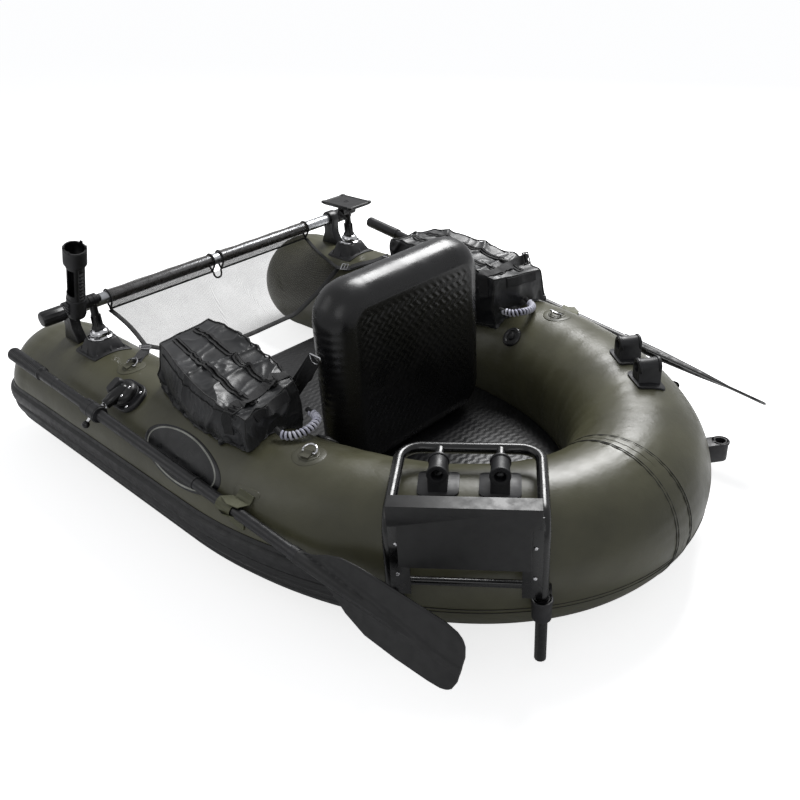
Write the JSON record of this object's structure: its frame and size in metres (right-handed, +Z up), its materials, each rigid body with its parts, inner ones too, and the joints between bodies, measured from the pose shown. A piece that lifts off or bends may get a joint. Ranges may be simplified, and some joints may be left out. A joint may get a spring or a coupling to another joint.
{
  "type": "inflatable fishing float tube",
  "caption": "One-person inflatable fishing float tube: U-shaped tube hull, air floor, backrest, crossbar with lap net, oars, gear bags, rod holder and motor mount.",
  "frame": {"origin": "middle of the whole object's box, on the floor it stands on", "axes": "+Z up, +Y towards the closed stern, +X towards the port pontoon of a sitter who faces the open end at -Y"},
  "size_m": [1.2386, 1.7252, 0.6003],
  "materials": {
    "hull_pvc": "satin olive coated fabric",
    "strake_rib": "black moulded ribs",
    "floor_dropstitch": "black embossed coated fabric",
    "cushion_vinyl": "black embossed vinyl with a gloss rim",
    "webbing": "black woven webbing",
    "bar_aluminium": "anodised",
    "cap_plastic": "black ribbed",
    "moulded_plastic": "black moulded, fine grain",
    "sleeve_mesh": "dark mesh cloth",
    "apron_netting": "pale see-through netting",
    "pad_rubber": "black moulded rubber",
    "oar_plastic": "black satin",
    "olive_webbing": "olive coated strap",
    "bag_nylon": "black crinkled nylon",
    "cord_wrap": "white wrapped cord",
    "patch_pvc": "olive patch with a steel ring",
    "painted_tube": "gloss black",
    "board_plastic": "black board"
  },
  "bodies": {
    "hull": {"hull_tube_port": "hull_pvc", "hull_tube_starboard": "hull_pvc", "rub_strake_port": "strake_rib", "rub_strake_starboard": "strake_rib", "floor_board": "floor_dropstitch", "backrest_strap_port": "webbing", "backrest_strap_starboard": "webbing", "crossbar": "bar_aluminium", "crossbar_cap_port": "cap_plastic", "crossbar_cap_starboard": "cap_plastic", "bar_clamp_port": "moulded_plastic", "bar_clamp_starboard": "moulded_plastic", "mesh_sleeve_port": "sleeve_mesh", "mesh_sleeve_starboard": "sleeve_mesh", "lap_apron": "apron_netting", "apron_strap_port": "webbing", "apron_strap_starboard": "webbing", "rod_holder_base": "pad_rubber", "table_base": "pad_rubber", "rowlock_pad_port": "pad_rubber", "rowlock_pad_starboard": "pad_rubber", "oar_keeper_port": "olive_webbing", "oar_keeper_starboard": "olive_webbing", "bag_port": "bag_nylon", "bag_starboard": "bag_nylon", "bag_handle_port": "cord_wrap", "bag_handle_starboard": "cord_wrap", "valve_port": "moulded_plastic", "valve_starboard": "moulded_plastic", "d_ring_aft_port": "patch_pvc", "d_ring_aft_starboard": "patch_pvc", "d_ring_fore_port": "patch_pvc", "d_ring_fore_starboard": "patch_pvc", "motor_mount_frame": "painted_tube", "transom_board": "board_plastic", "socket_top1_port": "pad_rubber", "socket_top1_starboard": "pad_rubber", "socket_top2_port": "pad_rubber", "socket_top2_starboard": "pad_rubber", "socket_low1_port": "pad_rubber", "socket_low1_starboard": "pad_rubber", "socket_low2_port": "pad_rubber", "socket_low2_starboard": "pad_rubber"},
    "backrest": {"backrest": "cushion_vinyl"},
    "rod_holder_post": {"rod_holder_stem": "moulded_plastic"},
    "rod_holder": {"rod_holder_tube": "moulded_plastic"},
    "table_post": {"table_stem": "moulded_plastic"},
    "table": {"instrument_table": "moulded_plastic"},
    "rowlock_port": {"rowlock_horn_port": "moulded_plastic"},
    "rowlock_starboard": {"rowlock_horn_starboard": "moulded_plastic"},
    "oar_port": {"oar_shaft_port": "oar_plastic", "oar_blade_port": "oar_plastic"},
    "oar_starboard": {"oar_shaft_starboard": "oar_plastic", "oar_blade_starboard": "oar_plastic"}
  },
  "joints": [
    {"name": "backrest_fold", "type": "hinge", "parent": "hull", "child": "backrest", "pos_m": [0, 0.0725, 0.0934], "axis": [1, 0, 0], "range_deg": [0, 82], "deforming": ["backrest_strap_port", "backrest_strap_starboard"]},
    {"name": "rod_holder_swivel", "type": "hinge", "parent": "hull", "child": "rod_holder_post", "pos_m": [0.422, -0.5, 0.338], "axis": [0, 0, 1], "range_deg": [-90, 90]},
    {"name": "rod_holder_tilt", "type": "hinge", "parent": "rod_holder_post", "child": "rod_holder", "pos_m": [0.422, -0.5, 0.428], "axis": [1, 0, 0], "range_deg": [-20, 45]},
    {"name": "table_swivel", "type": "hinge", "parent": "hull", "child": "table_post", "pos_m": [-0.422, -0.5, 0.338], "axis": [0, 0, 1], "continuous": true},
    {"name": "table_tilt", "type": "hinge", "parent": "table_post", "child": "table", "pos_m": [-0.422, -0.5, 0.428], "axis": [1, 0, 0], "range_deg": [-30, 30]},
    {"name": "rowlock_swivel_port", "type": "hinge", "parent": "hull", "child": "rowlock_port", "pos_m": [0.50082, -0.255, 0.28383], "axis": [0.4756, 0, 0.8796], "range_deg": [-10, 0], "deforming": ["oar_keeper_port"]},
    {"name": "rowlock_swivel_starboard", "type": "hinge", "parent": "hull", "child": "rowlock_starboard", "pos_m": [-0.50082, -0.255, 0.28383], "axis": [-0.4756, 0, 0.8796], "range_deg": [0, 10], "deforming": ["oar_keeper_starboard"]},
    {"name": "oar_dip_port", "type": "hinge", "parent": "rowlock_port", "child": "oar_port", "pos_m": [0.58698, -0.255, 0.28532], "axis": [0.9989, 0.0464, 0], "range_deg": [0, 12]},
    {"name": "oar_dip_starboard", "type": "hinge", "parent": "rowlock_starboard", "child": "oar_starboard", "pos_m": [-0.58698, -0.255, 0.28532], "axis": [0.9989, -0.0464, 0], "range_deg": [0, 12]}
  ]
}
